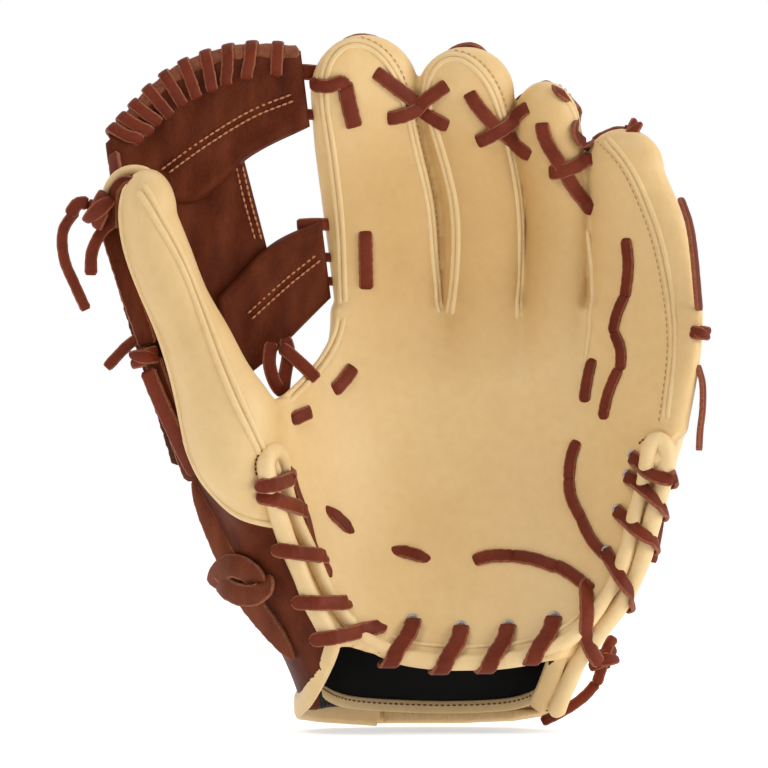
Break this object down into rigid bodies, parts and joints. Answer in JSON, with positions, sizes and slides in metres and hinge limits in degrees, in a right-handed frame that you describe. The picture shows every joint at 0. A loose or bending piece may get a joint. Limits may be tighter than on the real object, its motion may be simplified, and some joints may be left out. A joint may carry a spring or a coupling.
{
  "type": "baseball glove",
  "caption": "Infield baseball glove for the left hand with an open barred web, laced leather finger stalls, rolled laced heel, padded palm and a wrist strap.",
  "frame": {"origin": "middle of the opening at the wrist that the hand goes in through, at the level of the lining's edge", "axes": "+Z from the wrist to the finger tips, +Y from the catching face to the back of the hand, +X from the thumb to the little finger"},
  "size_m": [0.2832, 0.1286, 0.3087],
  "materials": {
    "camel_leather": "smooth oiled steerhide, camel, light grain",
    "brown_leather": "oiled brown leather with fine streaks",
    "lace_leather": "waxed rawhide lace, dark tan, fuzzy raw edges",
    "black_lining": "soft matte black lining leather",
    "felt": "pressed wool felt padding",
    "fleece": "camel padded lining",
    "stay_plastic": "thin flexible stay"
  },
  "bodies": {
    "palm": {"palm_shell": "camel_leather", "back_panel": "camel_leather", "index_stall": "camel_leather", "middle_stall": "camel_leather", "ring_stall": "camel_leather", "pinky_stall": "camel_leather", "centre_heel_roll": "camel_leather", "pinky_heel_roll": "camel_leather", "centre_heel_lace": "lace_leather", "pinky_heel_lace": "lace_leather", "index_middle_lace": "lace_leather", "middle_ring_lace": "lace_leather", "ring_pinky_lace": "lace_leather", "palm_lace": "lace_leather", "pinky_palm_lace": "lace_leather", "crotch_lace": "lace_leather", "pinky_tip_knot": "lace_leather", "pinky_side_knot": "lace_leather", "heel_knot": "lace_leather", "pinky_side_tail": "lace_leather", "heel_tail": "lace_leather", "pinky_loop": "lace_leather", "palm_liner": "black_lining", "back_liner": "black_lining", "palm_pad": "felt", "pinky_heel_pad": "felt", "pinky_stay": "stay_plastic"},
    "thumb": {"thumb_palm_shell": "camel_leather", "thumb_heel_pad": "felt", "thumb_back_panel": "brown_leather", "thumb_stay": "stay_plastic", "thumb_stall": "camel_leather", "thumb_heel_roll": "camel_leather", "thumb_heel_lace": "lace_leather", "thumb_tip_knot": "lace_leather", "thumb_side_knot": "lace_leather", "wrist_knot": "lace_leather", "thumb_tip_tail": "lace_leather", "thumb_loop": "lace_leather", "thumb_back_strip": "brown_leather"},
    "web": {"web_top_bar": "brown_leather", "web_lower_bar": "brown_leather", "web_centre_bar": "brown_leather", "web_top_lace": "lace_leather"},
    "strap": {"wrist_strap": "camel_leather", "strap_fleece": "fleece"}
  },
  "joints": [
    {"name": "thumb_close", "type": "hinge", "parent": "palm", "child": "thumb", "pos_m": [-0.035, -0.06, 0.02], "axis": [-0.2181, 0.1131, 0.9694], "range_deg": [0, 30]},
    {"name": "web_fold", "type": "hinge", "parent": "palm", "child": "web", "pos_m": [-0.049, -0.004, 0.175], "axis": [-0.1181, -0.1849, 0.9756], "range_deg": [0, 16.5]},
    {"name": "strap_swing", "type": "hinge", "parent": "palm", "child": "strap", "pos_m": [0.0535, 0.013, 0], "axis": [0, 0, -1], "range_deg": [0, 12]}
  ],
  "couplings": [
    {"joint": "web_fold", "follows": "thumb_close", "ratio": 0.55}
  ]
}
